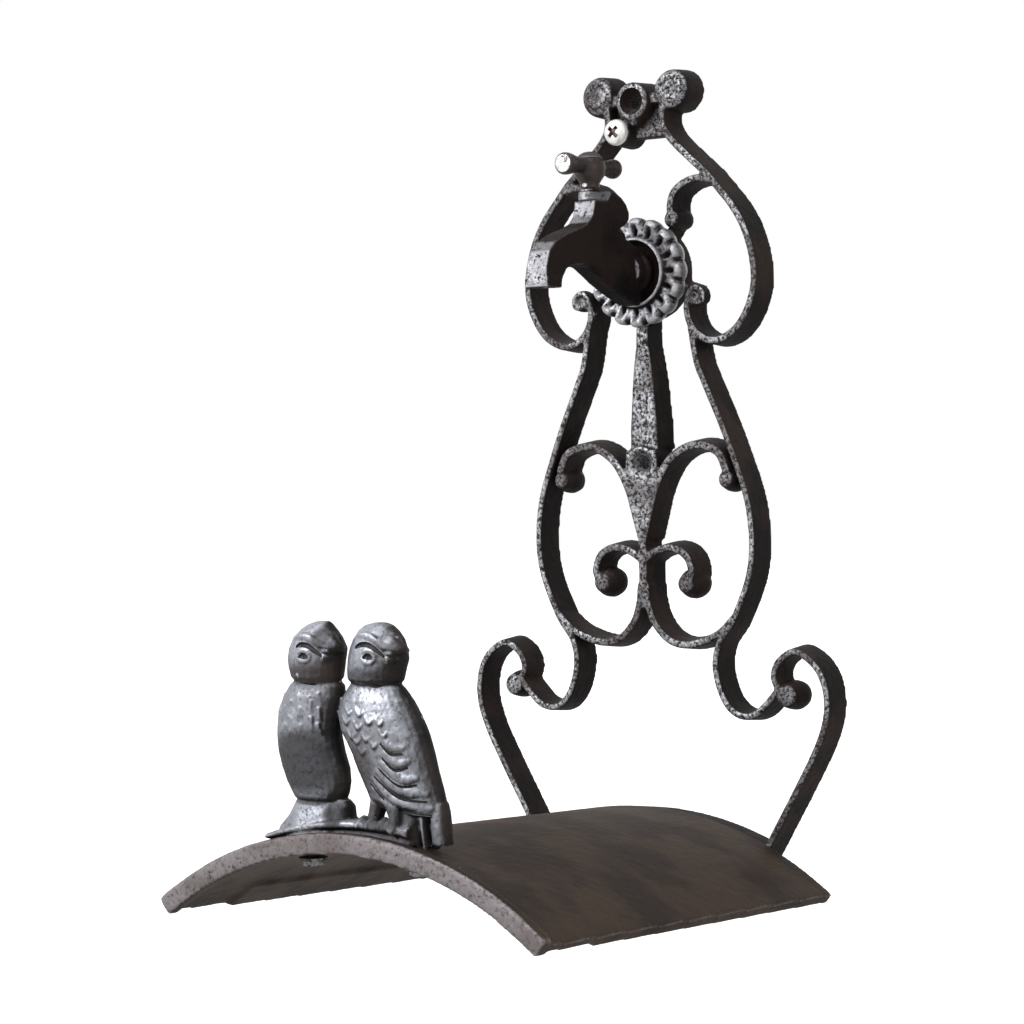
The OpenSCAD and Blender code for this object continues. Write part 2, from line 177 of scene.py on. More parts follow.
def add_bar(bm, points, width=5.0, depth=14.0, front=0.29, back=0.6, low=0.0):
    """A bar in the plane of the wall, through points x, z under the upper wall hole. The width is one
    number or one for each point; front and back are the bar's half widths there, as shares of it. It starts
    at the share low of its depth from the wall."""
    path = smooth_path(points)
    widths = width if isinstance(width, list) else [width]*len(points)
    places = []
    for i, p in enumerate(path):
        run = (path[min(i + 1, len(path) - 1)] - path[max(i - 1, 0)]).normalized()
        j = min(i//10, len(widths) - 2)
        w = widths[j] + (widths[j + 1] - widths[j])*(i/10 - j)
        along, out = Vector((run.x, 0, run.y)), Vector((0, -1, 0))
        across = along.cross(out)
        places.append(Matrix((
            (across.x*w, out.x*depth, along.x, p.x),
            (across.y*w, out.y*depth, along.y, 0),
            (across.z*w, out.z*depth, along.z, p.y + HOLE_Z),
            (0, 0, 0, 1))))
    near = front + 0.05
    section = [(-back, low, 0), (back, low, 0), (near, 0.93, 0), (front, 1, 0), (-front, 1, 0), (-near, 0.93, 0)]
    sweep(bm, section, places)


def lathe(bm, line, centre, axis, steps=48):
    """Spins a line of (radius, height) about an axis through the centre, in mm."""
    side = Vector((1, 0, 0)) if axis.x == 0 else Vector((0, 0, 1))
    verts = [bm.verts.new(Vector(centre) + side*r + axis*h) for r, h in line]
    edges = [bm.edges.new(pair) for pair in zip(verts, verts[1:])]
    bmesh.ops.spin(bm, geom=verts + edges, cent=centre, axis=axis, angle=2*math.pi, steps=steps, use_merge=True)
    bmesh.ops.remove_doubles(bm, verts=bm.verts, dist=1e-4)


TO_WALL = Vector((0, 1, 0))


def add_boss(bm, x, z, *line):
    """A round boss, pin or hole square to the wall: (radius, y) pairs at x, z under the upper wall hole."""
    lathe(bm, [(0, line[0][1]), *line, (0, line[-1][1])], (x, 0, z + HOLE_Z), TO_WALL)


def add_ball(bm, place, radii, lean=0.0, axis="Y", segments=24):
    """An egg shape at a place in mm, leant by degrees about an axis."""
    spot = Matrix.Translation(Vector(place)) @ Matrix.Rotation(math.radians(lean), 4, axis)
    bmesh.ops.create_uvsphere(
        bm, u_segments=segments, v_segments=segments*2//3, radius=1.0,
        matrix=spot @ Matrix.Diagonal((*radii, 1)))


def as_piece(bm, name, scale=MM):
    """Turns the bmesh, drawn in mm, into an object at the origin in metres."""
    bmesh.ops.recalc_face_normals(bm, faces=bm.faces)
    bmesh.ops.scale(bm, vec=(scale,)*3, verts=bm.verts)
    mesh = bpy.data.meshes.new(name)
    bm.to_mesh(mesh)
    bm.free()
    piece = bpy.data.objects.new(name, mesh)
    scene.collection.objects.link(piece)
    return piece


def settle(piece):
    """Applies the piece's modifiers to its mesh."""
    graph = bpy.context.evaluated_depsgraph_get()
    mesh = bpy.data.meshes.new_from_object(piece.evaluated_get(graph))
    piece.modifiers.clear()
    mesh.materials.clear()
    piece.data = mesh
    mesh.name = piece.name
    return piece


def cast(piece, voxel, rounds, strength=0.0, grain=0.004, keep=1.0):
    """Fuses the forms of a casting into one skin, rounds it and gives it a sand cast waviness."""
    fuse = piece.modifiers.new("fuse", "REMESH")
    fuse.mode = "VOXEL"
    fuse.voxel_size = voxel*MM
    ease = piece.modifiers.new("ease", "SMOOTH")
    ease.factor = 0.5
    ease.iterations = rounds
    if strength:
        sand = bpy.data.textures.new(piece.name + "_sand", "CLOUDS")
        sand.noise_scale = grain
        sand.noise_depth = 2
        wave = piece.modifiers.new("wave", "DISPLACE")
        wave.texture = sand
        wave.strength = strength*MM
        wave.mid_level = 0.5
    if keep < 1:
        piece.modifiers.new("thin", "DECIMATE").ratio = keep
    return settle(piece)


def bore(piece, cutter):
    """Cuts the cutter's shape out of the piece and removes the cutter."""
    cut = piece.modifiers.new("cut", "BOOLEAN")
    cut.operation = "DIFFERENCE"
    cut.solver = "MANIFOLD"
    cut.object = cutter
    settle(piece)
    bpy.data.objects.remove(cutter)


def shade_smooth(piece, angle=40):
    """Smooth shading that keeps edges sharper than the angle."""
    mesh = piece.data
    mesh.shade_smooth()
    mesh.set_sharp_from_angle(angle=math.radians(angle))


HUB_DROP = 78.5                  # the hub's middle under the upper wall hole
FOOT_DROP = 486.42               # the same for the centre of the foot's arc
BOLT_RING = 150.5                # radius of the saddle bolts' arc about that centre
SADDLE_BOLTS = (-44, 0, 44)
bm = bmesh.new()
volute = []
for i in range(12):
    turn, r = math.radians(205 - 45*i), 7.4 - 0.5*i
    volute.append((20 + r*math.cos(turn), 3.8 + r*math.sin(turn)))
bars = [
    # arm from the top volute round the big loop to its inner knob
    ([(16, 3), (15, -5), (15.4, -12), (19.6, -18.7), (29, -27.5), (38, -35.5), (43.9, -42), (51.6, -51), (57, -60),
      (60.4, -69.2), (62.2, -78.5), (62, -88), (58.6, -97.6), (53.3, -105.2), (46.4, -109.8), (39.5, -111),
      (33, -108.6), (28.2, -103), (26.4, -96), (27.6, -90.6)], 5.0),
    # hook reaching in to the hub
    ([(39.5, -38.6), (33.5, -37.4), (27.6, -38.4), (23.2, -40.6), (20.1, -43.6), (18.5, -48.4), (18.7, -55)], 5.2),
    # side bar, stem and trough
    ([(28.3, -104), (31, -119.6), (34.7, -128.8), (43.2, -147.2), (50.5, -165), (56.2, -181), (58.6, -195),
      (58.6, -208.5), (55.6, -221.5), (48, -238), (40.8, -248), (38.4, -258), (40.4, -268.5), (45, -276.8),
      (51.8, -280.8), (59.5, -279.6), (66, -274), (71, -268.5)], 4.6),
    # bottom scroll down to the foot
    ([(71.5, -268.5), (69, -262.4), (71.7, -255.6), (79.5, -251), (87.7, -254.6), (93.4, -261.4), (95.9, -270.5),
      (95.3, -281), (90.6, -293.6), (81, -311), (71, -328), (61, -345)], 4.6),
    # curl beside the lower wall hole
    ([(0.5, -201), (3.4, -191), (7.4, -178), (13.6, -167), (20.4, -161.2), (28, -158.4), (35.8, -159),
      (42.4, -162.4), (46, -170.5)], 5.8),
    # heart at the bottom of the middle, and the bows below it
    ([(0, -211), (8, -206.4), (16.6, -205.3), (23.6, -208.8), (26.4, -215.4), (25, -220)], 5.4),
    ([(1.4, -222), (2.4, -231), (6, -240), (13.4, -247.2), (22.4, -249.4), (33, -247.2), (41, -243),
      (48, -235.5)], [5.2]*6 + [4, 1.2]),
]
for points, width in bars:
    add_bar(bm, points, width)
# top volutes, and the small curls at the ends of the loops
add_bar(bm, volute, 3.4, 14.9, 0.36)
add_boss(bm, 20, 3.8, (10, 0), (9.3, -11.6), (8.6, -13.2), (7.2, -14), (3, -14))
add_boss(bm, 31.5, -90.4, (3.8, -7.5), (4.8, -9), (4.9, -12.4), (4.4, -13.2))
add_bar(bm, [(27.4, -94), (27.6, -89.6), (31.4, -86.4), (35.3, -88.8), (35.3, -92.6), (32, -93.6), (30.6, -91.2)],
        2.8, 14.4, 0.34, 0.5, 0.6)
# knobs at the ends of the scrolls: x, z, radius at the front and behind
for x, z, front, back in [
        (18.8, -55, 3.5, 5), (45.5, -174, 3.5, 6), (23.2, -221.6, 4.1, 7.2), (75.4, -271, 4.7, 6.8)]:
    add_boss(bm, x, z, (back*0.85, 0), (back, -4), (back*0.94, -7.5), (front + 0.5, -12.2), (front, -13.4),
             (front*0.6, -14.1))
add_bar(bm, [(18.8, -55), (15, -60), (11, -66)], 5, 8.5)
add_bar(bm, [(29, -88.4), (25, -87), (18, -85)], 5, 8.5)
bmesh.ops.mirror(bm, geom=bm.verts[:] + bm.edges[:] + bm.faces[:], axis="X", merge_dist=1e-6)
# stem between the hearts, spine behind the face, spine plate and its tip
add_bar(bm, [(0, -208), (0, -220), (0, -233)], 7, 13.8)
add_bar(bm, [(0, -94), (0, -100), (0, -105)], 7.6, 8.5)
add_bar(bm, [(0, -102.8), (0, -112), (0, -128), (0, -150), (0, -160)], [8.6, 9.8, 15.8, 20.5, 21], 11, 0.31, 0.5)
add_bar(bm, [(0, -160), (0, -166), (0, -178), (0, -190), (0, -200), (0, -212)],
        [15.6, 17.8, 15, 9.4, 4.8, 3.6], 13.8, 0.46, 0.56)
# sunk web under the upper boss, the bridge at its sides, and the bosses
add_bar(bm, [(0, 4), (0, -8), (0, -16.5)], [24, 27, 30], 8, 0.48, 0.5)
add_bar(bm, [(-14, 0.5), (0, 1), (14, 0.5)], 7, 13)
add_boss(bm, 0, 0, (9.4, 0), (8.7, -15.2), (8.2, -16))
add_bar(bm, [(0, -2), (0, -6), (0, -11)], [15.6, 11, 1.5], 14.8, 0.5, 0.52)
add_boss(bm, -9, -13.5, (7, 0), (6.3, -13), (5.8, -14))
add_boss(bm, 0, -166, (9, 0), (7.6, -13.9))
add_boss(bm, 0, -HUB_DROP, (22, 0), (22, -9))
foot_angle = math.asin(62/150)
foot_places = []
for i in range(25):
    a = -foot_angle + 2*foot_angle*i/24
    foot_places.append(
        Matrix.Translation((BOLT_RING*math.sin(a), 0, HOLE_Z - FOOT_DROP + (BOLT_RING + 1)*math.cos(a)))
        @ Matrix.Rotation(a, 4, "Y"))
sweep(bm, [(0, 0, -8.5), (0, 0, 8.5), (0, -14, 8.5), (0, -14, -8.5)], foot_places)
scroll_casting = as_piece(bm, "scroll_casting")
cast(scroll_casting, 0.65, 5, 0.16, 0.0035, 0.42)
# countersunk wall holes, screw and stud holes, and the nut pockets on the wall side
bm = bmesh.new()
add_boss(bm, 0, 0, (3.3, 3), (3.3, -12.8), (6.2, -15.8), (6.2, -20))
add_boss(bm, 0, -166, (3.3, 3), (3.3, -10.6), (6.6, -13.9), (6.6, -18))
add_boss(bm, -9, -13.5, (3.05, 3), (3.05, -20))
add_boss(bm, 0, -HUB_DROP, (10.5, 1), (10.5, -6), (4.3, -6), (4.3, -12))
for x in SADDLE_BOLTS:
    add_boss(bm, x, -FOOT_DROP + math.sqrt(BOLT_RING**2 - x*x), (7, 1), (7, -6.2), (3.3, -6.2), (3.3, -20))
bore(scroll_casting, as_piece(bm, "frame_holes"))
shade_smooth(scroll_casting, 55)


def node_group(name, inputs, outputs):
    """A shader group with named number sockets."""
    group = bpy.data.node_groups.new(name, "ShaderNodeTree")
    for label, value in inputs:
        group.interface.new_socket(name=label, in_out="INPUT", socket_type="NodeSocketFloat").default_value = value
    for label in outputs:
        group.interface.new_socket(name=label, in_out="OUTPUT", socket_type="NodeSocketFloat")
    return group, group.nodes.new("NodeGroupInput"), group.nodes.new("NodeGroupOutput")


def maths(tree, operation, a, b=None):
    """A Math node; a and b are sockets or numbers."""
    node = tree.nodes.new("ShaderNodeMath")
    node.operation = operation
    for socket, value in zip(node.inputs, (a, b)):
        if isinstance(value, bpy.types.NodeSocket):
            tree.links.new(value, socket)
        elif value is not None:
            socket.default_value = value
    return node.outputs[0]


def ramp(tree, value, low, high, to_low=0.0, to_high=1.0):
    """Smooth step of a socket between two levels."""
    node = tree.nodes.new("ShaderNodeMapRange")
    node.interpolation_type = "SMOOTHSTEP"
    tree.links.new(value, node.inputs["Value"])
    for label, level in (("From Min", low), ("From Max", high), ("To Min", to_low), ("To Max", to_high)):
        if isinstance(level, bpy.types.NodeSocket):
            tree.links.new(level, node.inputs[label])
        else:
            node.inputs[label].default_value = level
    return node.outputs["Result"]


# grain of a sand casting: height for the bump, pits as a mask
grain_group, g_in, g_out = node_group("cast_grain", [("Scale", 500.0)], ["Height", "Pits", "Drift"])
coords = grain_group.nodes.new("ShaderNodeTexCoord")
rough_noise = grain_group.nodes.new("ShaderNodeTexNoise")
rough_noise.inputs["Detail"].default_value = 6
rough_noise.inputs["Roughness"].default_value = 0.62
cells = grain_group.nodes.new("ShaderNodeTexVoronoi")
cells.feature = "SMOOTH_F1"
drift = grain_group.nodes.new("ShaderNodeTexNoise")
drift.inputs["Detail"].default_value = 3
for texture, factor in ((rough_noise, 1.0), (cells, 0.62), (drift, 0.09)):
    grain_group.links.new(coords.outputs["Object"], texture.inputs["Vector"])
    grain_group.links.new(maths(grain_group, "MULTIPLY", g_in.outputs["Scale"], factor), texture.inputs["Scale"])
dents = maths(grain_group, "MULTIPLY", cells.outputs["Distance"], 0.7)
grain_group.links.new(maths(grain_group, "ADD", rough_noise.outputs["Fac"], dents), g_out.inputs["Height"])
grain_group.links.new(ramp(grain_group, rough_noise.outputs["Fac"], 0.47, 0.36), g_out.inputs["Pits"])
grain_group.links.new(ramp(grain_group, drift.outputs["Fac"], 0.38, 0.62), g_out.inputs["Drift"])

# silver rubbed on raised places: faces that look along the aim and edges with wear, broken up by the grain; aimed up at
# the lamps, as on the birds, the silver is a painted highlight
rub_and_highlight_group, r_in, r_out = node_group(
    "rubbed_silver_and_painted_highlight",
    [("Front", 1.0), ("Edge", 1.0), ("Cover", 0.5), ("Scale", 320.0), ("Aim X", 0.0), ("Aim Z", 0.24),
     ("Least", 0.45)], ["Mask", "Edge Wear Highlight"])
coords = rub_and_highlight_group.nodes.new("ShaderNodeTexCoord")
aim = rub_and_highlight_group.nodes.new("ShaderNodeCombineXYZ")
aim.inputs["Y"].default_value = -1.0
rub_and_highlight_group.links.new(r_in.outputs["Aim X"], aim.inputs["X"])
rub_and_highlight_group.links.new(r_in.outputs["Aim Z"], aim.inputs["Z"])
aimed = rub_and_highlight_group.nodes.new("ShaderNodeVectorMath")
aimed.operation = "NORMALIZE"
rub_and_highlight_group.links.new(aim.outputs["Vector"], aimed.inputs[0])
facing = rub_and_highlight_group.nodes.new("ShaderNodeVectorMath")
facing.operation = "DOT_PRODUCT"
rub_and_highlight_group.links.new(coords.outputs["Normal"], facing.inputs[0])
rub_and_highlight_group.links.new(aimed.outputs["Vector"], facing.inputs[1])
shape = rub_and_highlight_group.nodes.new("ShaderNodeNewGeometry")
front = maths(rub_and_highlight_group, "MULTIPLY", ramp(rub_and_highlight_group, facing.outputs["Value"], r_in.outputs["Least"], 0.97),
              r_in.outputs["Front"])
raised = maths(rub_and_highlight_group, "MULTIPLY", front, ramp(rub_and_highlight_group, shape.outputs["Pointiness"], 0.44, 0.5))
# edges found by pointiness: real wear, also used below to paint a highlight along them
edge_wear_and_highlight = maths(rub_and_highlight_group, "MULTIPLY", ramp(rub_and_highlight_group, shape.outputs["Pointiness"], 0.52, 0.6), r_in.outputs["Edge"])
patch = rub_and_highlight_group.nodes.new("ShaderNodeTexNoise")
patch.inputs["Detail"].default_value = 5
patch.inputs["Roughness"].default_value = 0.7
rub_and_highlight_group.links.new(coords.outputs["Object"], patch.inputs["Vector"])
rub_and_highlight_group.links.new(r_in.outputs["Scale"], patch.inputs["Scale"])
low = maths(rub_and_highlight_group, "SUBTRACT", 0.88, r_in.outputs["Cover"])
broken = ramp(rub_and_highlight_group, patch.outputs["Fac"], low, maths(rub_and_highlight_group, "ADD", low, 0.22))
both_marks = maths(rub_and_highlight_group, "MAXIMUM", raised, edge_wear_and_highlight)
rub_and_highlight_group.links.new(
    maths(rub_and_highlight_group, "MINIMUM", maths(rub_and_highlight_group, "MULTIPLY", both_marks, broken), 1.0), r_out.inputs["Mask"])
rub_and_highlight_group.links.new(maths(rub_and_highlight_group, "MULTIPLY", edge_wear_and_highlight, broken), r_out.inputs["Edge Wear Highlight"])


def iron(name, dark, brown, silver, front=1.0, edge=1.0, cover=0.5, grain=500.0, bump=0.6, rub_scale=320.0,
         pits=1.0, fade=0.6, dull=0.62, bright=0.4, aim=(0.0, 0.24), least=0.45, metal=0.8, sheen=0.1, shade=()):
    """Painted cast iron: a dark coat drifting to brown, with silver rubbed over it.

    front, edge and cover say how much silver the faces along the aim (x, z) and the edges with wear take;
    pits and fade take it off again in the pits and where the coat is brown. dull and bright are the
    roughness of coat and silver. shade lists places painted in shade, where the silver is taken off: x, z
    under the upper wall hole, half width, half height, share; with it, faces turned to the right are painted
    in shade too."""
    made = bpy.data.materials.new(name)
    made.use_nodes = True
    tree = made.node_tree
    shader = tree.nodes["Principled BSDF"]
    shader.inputs["Specular IOR Level"].default_value = sheen
    grit = tree.nodes.new("ShaderNodeGroup")
    grit.node_tree = grain_group
    grit.inputs["Scale"].default_value = grain
    rub = tree.nodes.new("ShaderNodeGroup")
    rub.node_tree = rub_and_highlight_group
    for label, value in (("Front", front), ("Edge", edge), ("Cover", cover), ("Scale", rub_scale),
                         ("Aim X", aim[0]), ("Aim Z", aim[1]), ("Least", least)):
        rub.inputs[label].default_value = value
    coat = tree.nodes.new("ShaderNodeMix")
    coat.data_type = "RGBA"
    coat.inputs["A"].default_value = (*dark, 1)
    coat.inputs["B"].default_value = (*brown, 1)
    tree.links.new(grit.outputs["Drift"], coat.inputs["Factor"])
    whole = maths(tree, "SUBTRACT", 1.0, maths(tree, "MULTIPLY", grit.outputs["Pits"], pits))
    kept = maths(tree, "SUBTRACT", 1.0, maths(tree, "MULTIPLY", grit.outputs["Drift"], fade))
    mask = maths(tree, "MULTIPLY", rub.outputs["Mask"], maths(tree, "MULTIPLY", whole, kept))
    if shade:
        # and faces turned to the right, away from the lamps, are painted in shade too
        place = tree.nodes.new("ShaderNodeTexCoord")
        split = tree.nodes.new("ShaderNodeSeparateXYZ")
        tree.links.new(place.outputs["Normal"], split.inputs[0])
        painted_shade_share = ramp(tree, split.outputs["X"], 0.25, 0.75, 0.0, 0.85)
        for x, z, wide, high, share in shade:
            spot = tree.nodes.new("ShaderNodeVectorMath")
            spot.operation = "MULTIPLY_ADD"
            spot.inputs[1].default_value = (1/(wide*MM), 0, 1/(high*MM))
            spot.inputs[2].default_value = (-x/wide, 0, -(HOLE_Z + z)/high)
            tree.links.new(place.outputs["Object"], spot.inputs[0])
            reach = tree.nodes.new("ShaderNodeVectorMath")
            reach.operation = "LENGTH"
            tree.links.new(spot.outputs["Vector"], reach.inputs[0])
            painted_shade_share = maths(tree, "MAXIMUM", painted_shade_share, ramp(tree, reach.outputs["Value"], 1.15, 0.6, 0.0, share))
        mask = maths(tree, "MULTIPLY", mask, maths(tree, "SUBTRACT", 1.0, painted_shade_share))
    colour = tree.nodes.new("ShaderNodeMix")
    colour.data_type = "RGBA"
    colour.inputs["B"].default_value = (*silver, 1)
    tree.links.new(coat.outputs["Result"], colour.inputs["A"])
    tree.links.new(mask, colour.inputs["Factor"])
    # edges with wear are mixed towards near white: partly wear, partly a painted highlight
    edge_highlight_mix = tree.nodes.new("ShaderNodeMix")
    edge_highlight_mix.data_type = "RGBA"
    edge_highlight_mix.inputs["B"].default_value = (0.75, 0.75, 0.77, 1)
    tree.links.new(colour.outputs["Result"], edge_highlight_mix.inputs["A"])
    tree.links.new(maths(tree, "MULTIPLY", rub.outputs["Edge Wear Highlight"], 0.7), edge_highlight_mix.inputs["Factor"])
    tree.links.new(edge_highlight_mix.outputs["Result"], shader.inputs["Base Color"])
    tree.links.new(maths(tree, "MULTIPLY", mask, metal), shader.inputs["Metallic"])
    tree.links.new(ramp(tree, mask, 0.0, 1.0, dull, bright), shader.inputs["Roughness"])
    bumps = tree.nodes.new("ShaderNodeBump")
    bumps.inputs["Strength"].default_value = bump
    bumps.inputs["Distance"].default_value = 0.0007
    tree.links.new(grit.outputs["Height"], bumps.inputs["Height"])
    tree.links.new(bumps.outputs["Normal"], shader.inputs["Normal"])
    return made


NEAR_BLACK, BROWN_BLACK, SILVER = (0.0075, 0.006, 0.0055), (0.020, 0.013, 0.011), (0.37, 0.37, 0.39)
frame_iron = iron("frame_iron", NEAR_BLACK, BROWN_BLACK, SILVER, edge=0.8, cover=0.5, rub_scale=700)
scroll_casting.data.materials.append(frame_iron)
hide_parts("back_frame")
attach(scroll_casting, "bracket")

# Rosette: a fluted iron ring of 16 petals with a raised lip round the tap's neck. Cast on its own,
# clamped between the tap and the hub. Each petal is scooped, so it shows a dark hollow.
PETALS = 16
RECESS = 14.3                    # the dark sunk middle ends at this radius
HUB_Z = HOLE_Z - HUB_DROP
bm = bmesh.new()
profile = [(4.3, -9), (4.3, -12), (13.3, -12), (13.9, -13), (14.5, -16.8), (15, -17.7), (15.7, -17.4), (16.2, -16.2),
           (16.9, -15), (18.5, -15.2), (20.5, -15.8), (22.4, -16.2), (24, -15.6), (24.7, -14.2), (24.8, -12),
           (24.2, -9)]
rim_line = [bm.verts.new((x, y, 0)) for x, y in profile]
rim_edges = [bm.edges.new((a, b)) for a, b in zip(rim_line, rim_line[1:] + rim_line[:1])]
bmesh.ops.spin(bm, geom=rim_line + rim_edges, cent=(0, 0, 0), axis=(0, 1, 0), angle=2*math.pi,
               steps=PETALS*14, use_merge=True)
bmesh.ops.remove_doubles(bm, verts=bm.verts, dist=1e-4)
for v in bm.verts:
    r, a = math.hypot(v.co.x, v.co.z), math.atan2(v.co.z, v.co.x)
    wave = math.cos(PETALS*a)
    if r > 16:
        grow = 1 + 0.05*(abs(math.cos(PETALS*a/2)) - 0.6)*min(1, (r - 16)/6)
        v.co.x *= grow
        v.co.z *= grow
    if v.co.y < -13 and r > 15.8:
        scoop = math.exp(-((r - 18.6)/2)**2)*max(0, wave)**1.4
        lift = math.exp(-((r - 22.4)/1.8)**2)*max(0, wave)
        cleft = math.exp(-((r - 23.5)/2.6)**2)*max(0, -wave)**2
        v.co.y += 3.4*scoop - 1.1*lift + 3*cleft
bmesh.ops.translate(bm, verts=bm.verts, vec=(0, 0, HUB_Z))
petal_ring = as_piece(bm, "petal_ring")
shade_smooth(petal_ring, 60)
petal_ring.data.materials.append(
    iron("rosette_iron", NEAR_BLACK, BROWN_BLACK, (0.52, 0.52, 0.56), front=1.0, edge=0.8, cover=0.62, grain=650,
         bump=0.8, rub_scale=700, bright=0.34, least=0.35, fade=0.3))
# the sunk middle takes the coat without silver: painted shade for the deep recess
petal_ring.data.materials.append(iron("recess_painted_shade", NEAR_BLACK, BROWN_BLACK, SILVER, front=0, edge=0, cover=0))
for face in petal_ring.data.polygons:
    spot = face.center - Vector((0, 0, HUB_Z*MM))
    face.material_index = int(math.hypot(spot.x, spot.z) < RECESS*MM)
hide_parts("rosette")
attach(petal_ring, "bracket")

# Tap: a flat-sided ornamental casting with a spout, its neck standing in the rosette's ring. Front
# edges are rubbed bright, the flanks stay dark brown.
SPOUT_Y = FACE_Y - 73.6
bm = bmesh.new()
tap_side = [(30.4, 30.6), (40.6, 30.8), (41.2, 27), (42.4, 23.5), (46, 20.2), (52, 17.7), (62, 14.9), (71, 11),
            (76, 6.5), (78.5, -0.5), (79, -9.2), (68, -9.5), (66, -4.4), (63, -0.9), (58.5, 0.9), (51, 1.5),
            (44, 0.4), (38, -2.6), (29.3, -7.2), (17.5, -12), (9, -14.8), (4.2, -15.6), (4.2, 10.5), (10, 12.5),
            (17, 15.5), (20, 18.8), (15.5, 20.4), (12.6, 23), (12.4, 26.4), (14.4, 30), (18, 33), (22.5, 35),
            (27, 35.8)]
outline = [bm.verts.new((-5.7, FACE_Y - out, z + HUB_Z)) for out, z in tap_side]
flank = bm.faces.new(outline)
flat = bmesh.ops.extrude_face_region(bm, geom=[flank])["geom"]
bmesh.ops.translate(bm, verts=[g for g in flat if isinstance(g, bmesh.types.BMVert)], vec=(11.4, 0, 0))
belly = [e for e in bm.edges if e.verts[0].co.x == e.verts[1].co.x
         and (all(v.co.y > FACE_Y - 52 and v.co.z < HOLE_Z - 66 for v in e.verts)
              or all(v.co.y > FACE_Y - 28.5 for v in e.verts))]
bmesh.ops.bevel(bm, geom=belly, offset=3.2, segments=3, profile=0.5, affect="EDGES", clamp_overlap=True)
made = bmesh.ops.create_cube(bm, size=1.0)["verts"]
bmesh.ops.scale(bm, verts=made, vec=(12.8, 11, 4))
bmesh.ops.translate(bm, verts=made, vec=(0, SPOUT_Y, HUB_Z - 7.4))
add_boss(bm, 0, -HUB_DROP, (8.4, -24), (8.6, -19), (9.9, -17.6), (9.9, -16.4), (8.6, -12.2))
add_ball(bm, (0, FACE_Y - 19, HOLE_Z - 79.5), (7.6, 18, 9.6), -22, "X")
tap_casting = as_piece(bm, "tap_casting")
cast(tap_casting, 0.6, 4, 0.3, 0.003)
bm = bmesh.new()
bmesh.ops.create_cone(bm, cap_ends=True, segments=32, radius1=3.4, radius2=3.4, depth=10,
                      matrix=Matrix.Translation((0, SPOUT_Y, HUB_Z - 9)))
bore(tap_casting, as_piece(bm, "spout_bore"))
shade_smooth(tap_casting, 60)
tap_iron = iron("tap_iron", (0.004, 0.003, 0.003), (0.013, 0.008, 0.007), (0.31, 0.31, 0.33), front=1.0, edge=0.3,
                cover=0.62, rub_scale=700, bright=0.42, least=0.6, fade=0.2, sheen=0.06)
tap_casting.data.materials.append(tap_iron)
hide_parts("tap_body")
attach(tap_casting, "bracket")

# Gland: a turned iron collar with one groove, finished like the tap. It is screwed into the tap's top
# under the handle and holds the spindle down.
UPRIGHT = Vector((0, 0, 1))
HANDLE_Y = FACE_Y - 36.2
bm = bmesh.new()
lathe(bm, [(2.32, 0), (4.9, 0), (5.3, 0.4), (5.3, 3.4), (4.9, 4), (4.4, 4.3), (4.3, 5), (4, 5.2), (2.32, 5.2),
           (2.32, 0)], (0, HANDLE_Y, HUB_Z + 30.8), UPRIGHT)
gland_collar = as_piece(bm, "gland_collar")
shade_smooth(gland_collar)
gland_collar.data.materials.append(tap_iron)
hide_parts("tap_bonnet")
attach(gland_collar, "bracket")

# Handle: an iron T bar with a ball hub and a shallow domed cap, browner than the tap. It turns with
# its own spindle.
BAR_Z = HUB_Z + 46.3
bm = bmesh.new()
lathe(bm, [(0, -20.8), (4.2, -20.8), (4.9, -20.2), (5, -18.4), (4.7, -16), (4, -12.6), (3.6, -9), (3.7, -5),
           (3.7, 5), (3.3, 9), (3.3, 12), (3.8, 15), (4.5, 17.4), (4.4, 19.6), (3.6, 20.8), (0, 20.8)],
      (0, HANDLE_Y, BAR_Z), TO_WALL)
lathe(bm, [(0, -9.9), (4.4, -9.9), (4.5, -9), (4.3, -8), (5.2, -6.6), (6.7, -4.4), (7.3, -1.4), (7, 1.6), (6, 3.5),
           (0, 3.5)], (0, HANDLE_Y, BAR_Z), UPRIGHT)
t_handle = as_piece(bm, "t_handle")
cast(t_handle, 0.5, 4, 0.15)
shade_smooth(t_handle, 60)
handle_iron = iron("handle_iron", (0.010, 0.007, 0.006), (0.038, 0.023, 0.018), (0.5, 0.5, 0.52), front=1.0,
                   edge=0.1, cover=0.7, dull=0.36, bright=0.3, bump=0.4, aim=(0, 0), least=0.93, fade=0.2,
                   sheen=0.3)
t_handle.data.materials.append(handle_iron)
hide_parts("tap_handle")
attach(t_handle, "handle")

bm = bmesh.new()
lathe(bm, [(0, 3.55), (5.9, 3.55), (5.5, 4.3), (4.6, 5.2), (3, 6.1), (1.4, 6.5), (0, 6.6)],
      (0, HANDLE_Y, BAR_Z), UPRIGHT)
handle_cap = as_piece(bm, "handle_cap")
shade_smooth(handle_cap)
handle_cap.data.materials.append(handle_iron)
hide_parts("tap_cap")
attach(handle_cap, "handle")

# Saddle: an arched plate, 4 mm thick, with a deeper rounded rim at the lip and a thicker rail under
# each wing. Cast in one piece with the flange that is bolted to the frame's foot.
CROWN = HOLE_Z - 310.0           # top of the lip
LIP_Y = -232.0
ARC = 165.0                      # radius of the arch
FALL = math.radians(3)           # towards the wall
WING = math.asin(100/ARC)
BIRD_Y = -217.5                  # the birds' middle plane
BIRD_SCREWS = (-28, 28)


